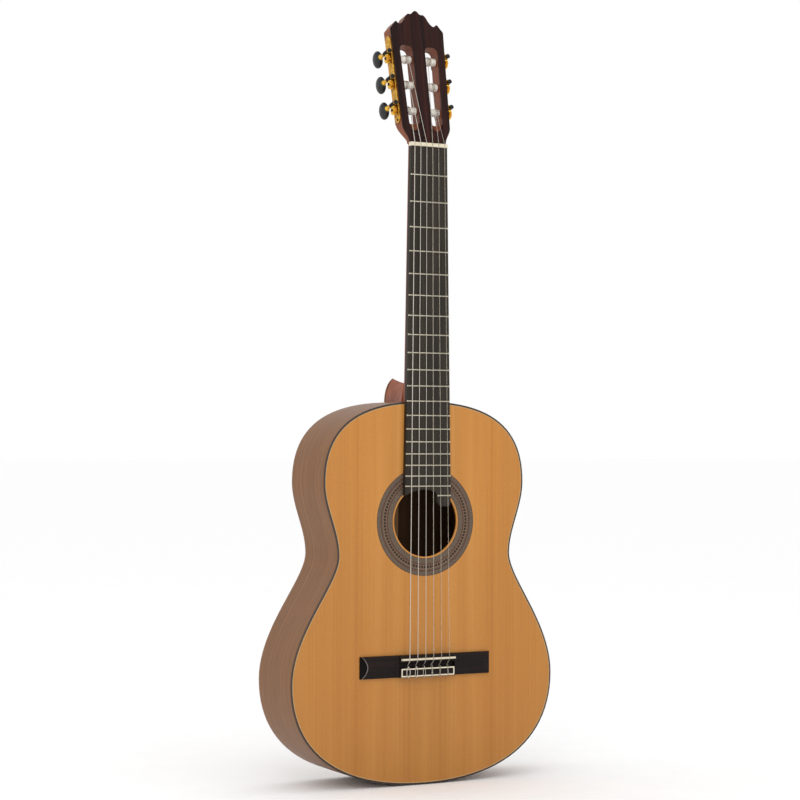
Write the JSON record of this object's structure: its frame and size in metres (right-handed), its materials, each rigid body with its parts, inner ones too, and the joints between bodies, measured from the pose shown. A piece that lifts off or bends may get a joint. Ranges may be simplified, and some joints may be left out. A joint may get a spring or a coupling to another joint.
{
  "type": "classical guitar",
  "caption": "Full-size classical guitar: waisted hollow body with a round sound hole, long neck, slotted head with worm-geared tuning machines and nylon strings.",
  "frame": {"origin": "on the flat outer face of the end graft at the tail, on the centre line and half way through the body's depth", "axes": "+Z along the neck from the tail to the head, -Y out of the soundboard, +X towards the treble strings"},
  "size_m": [0.375, 0.1138, 0.9949],
  "materials": {
    "cedar_top": "semi-gloss lacquer over fine straight grain",
    "walnut_body": "semi-gloss lacquer over straight brown grain",
    "mahogany": "satin lacquer",
    "spruce_inside": "bare planed wood",
    "dark_rosewood": "satin, open pores",
    "fingerboard_ebony": "oiled, matt",
    "rosette_mosaic": "fine wood mosaic under lacquer",
    "black_binding": "gloss",
    "bone": "polished bone",
    "nylon_string": "clear nylon",
    "metal_wire": "silvered wire",
    "gold_plate": "gold-plated, engraved",
    "black_steel": "black plated steel",
    "black_button": "moulded, polished",
    "white_roller": "moulded nylon"
  },
  "bodies": {
    "guitar_body": {"soundboard": "cedar_top", "back_plate": "walnut_body", "side_bass": "walnut_body", "side_treble": "walnut_body", "top_binding": "black_binding", "back_binding": "black_binding", "rosette": "rosette_mosaic", "end_graft": "black_binding", "tail_block": "mahogany", "top_lining_bass": "spruce_inside", "top_lining_treble": "spruce_inside", "back_lining_bass": "spruce_inside", "back_lining_treble": "spruce_inside", "upper_harmonic_bar": "spruce_inside", "lower_harmonic_bar": "spruce_inside", "fan_bracing": "spruce_inside", "back_bracing": "spruce_inside", "neck": "mahogany", "heel_cap": "walnut_body", "headstock": "mahogany", "headstock_overlay": "dark_rosewood", "fingerboard": "fingerboard_ebony", "nut": "bone", "bridge": "dark_rosewood", "saddle": "bone", "tie_block_inlay": "bone", "string_1": "nylon_string", "string_2": "nylon_string", "string_3": "nylon_string", "string_4": "metal_wire", "string_5": "metal_wire", "string_6": "metal_wire", "tuner_plate_bass": "gold_plate", "tuner_plate_treble": "gold_plate"},
    "knob_1": {"worm_shaft_1": "black_steel", "button_1": "black_button"},
    "winder_1": {"roller_1": "white_roller", "gear_1": "gold_plate"},
    "knob_2": {"worm_shaft_2": "black_steel", "button_2": "black_button"},
    "winder_2": {"roller_2": "white_roller", "gear_2": "gold_plate"},
    "knob_3": {"worm_shaft_3": "black_steel", "button_3": "black_button"},
    "winder_3": {"roller_3": "white_roller", "gear_3": "gold_plate"},
    "knob_4": {"worm_shaft_4": "black_steel", "button_4": "black_button"},
    "winder_4": {"roller_4": "white_roller", "gear_4": "gold_plate"},
    "knob_5": {"worm_shaft_5": "black_steel", "button_5": "black_button"},
    "winder_5": {"roller_5": "white_roller", "gear_5": "gold_plate"},
    "knob_6": {"worm_shaft_6": "black_steel", "button_6": "black_button"},
    "winder_6": {"roller_6": "white_roller", "gear_6": "gold_plate"}
  },
  "joints": [
    {"name": "knob_1_turn", "type": "hinge", "parent": "guitar_body", "child": "knob_1", "pos_m": [0.04045, -0.03314, 0.86652], "axis": [0, -0.9781, 0.2079], "continuous": true},
    {"name": "winder_1_turn", "type": "hinge", "parent": "guitar_body", "child": "winder_1", "pos_m": [0.0402, -0.03481, 0.85869], "axis": [0.9995, -0.0066, -0.0311], "continuous": true},
    {"name": "knob_2_turn", "type": "hinge", "parent": "guitar_body", "child": "knob_2", "pos_m": [0.04156, -0.02587, 0.90073], "axis": [0, -0.9781, 0.2079], "continuous": true},
    {"name": "winder_2_turn", "type": "hinge", "parent": "guitar_body", "child": "winder_2", "pos_m": [0.04131, -0.02753, 0.89291], "axis": [0.9995, -0.0066, -0.0311], "continuous": true},
    {"name": "knob_3_turn", "type": "hinge", "parent": "guitar_body", "child": "knob_3", "pos_m": [0.04268, -0.0186, 0.93495], "axis": [0, -0.9781, 0.2079], "continuous": true},
    {"name": "winder_3_turn", "type": "hinge", "parent": "guitar_body", "child": "winder_3", "pos_m": [0.04242, -0.02026, 0.92713], "axis": [0.9995, -0.0066, -0.0311], "continuous": true},
    {"name": "knob_4_turn", "type": "hinge", "parent": "guitar_body", "child": "knob_4", "pos_m": [-0.04268, -0.0186, 0.93495], "axis": [0, -0.9781, 0.2079], "continuous": true},
    {"name": "winder_4_turn", "type": "hinge", "parent": "guitar_body", "child": "winder_4", "pos_m": [-0.04242, -0.02026, 0.92713], "axis": [-0.9995, -0.0066, -0.0311], "continuous": true},
    {"name": "knob_5_turn", "type": "hinge", "parent": "guitar_body", "child": "knob_5", "pos_m": [-0.04156, -0.02587, 0.90073], "axis": [0, -0.9781, 0.2079], "continuous": true},
    {"name": "winder_5_turn", "type": "hinge", "parent": "guitar_body", "child": "winder_5", "pos_m": [-0.04131, -0.02753, 0.89291], "axis": [-0.9995, -0.0066, -0.0311], "continuous": true},
    {"name": "knob_6_turn", "type": "hinge", "parent": "guitar_body", "child": "knob_6", "pos_m": [-0.04045, -0.03314, 0.86652], "axis": [0, -0.9781, 0.2079], "continuous": true},
    {"name": "winder_6_turn", "type": "hinge", "parent": "guitar_body", "child": "winder_6", "pos_m": [-0.0402, -0.03481, 0.85869], "axis": [-0.9995, -0.0066, -0.0311], "continuous": true}
  ],
  "couplings": [
    {"joint": "winder_1_turn", "follows": "knob_1_turn", "ratio": -0.071429},
    {"joint": "winder_2_turn", "follows": "knob_2_turn", "ratio": -0.071429},
    {"joint": "winder_3_turn", "follows": "knob_3_turn", "ratio": -0.071429},
    {"joint": "winder_4_turn", "follows": "knob_4_turn", "ratio": -0.071429},
    {"joint": "winder_5_turn", "follows": "knob_5_turn", "ratio": -0.071429},
    {"joint": "winder_6_turn", "follows": "knob_6_turn", "ratio": -0.071429}
  ]
}
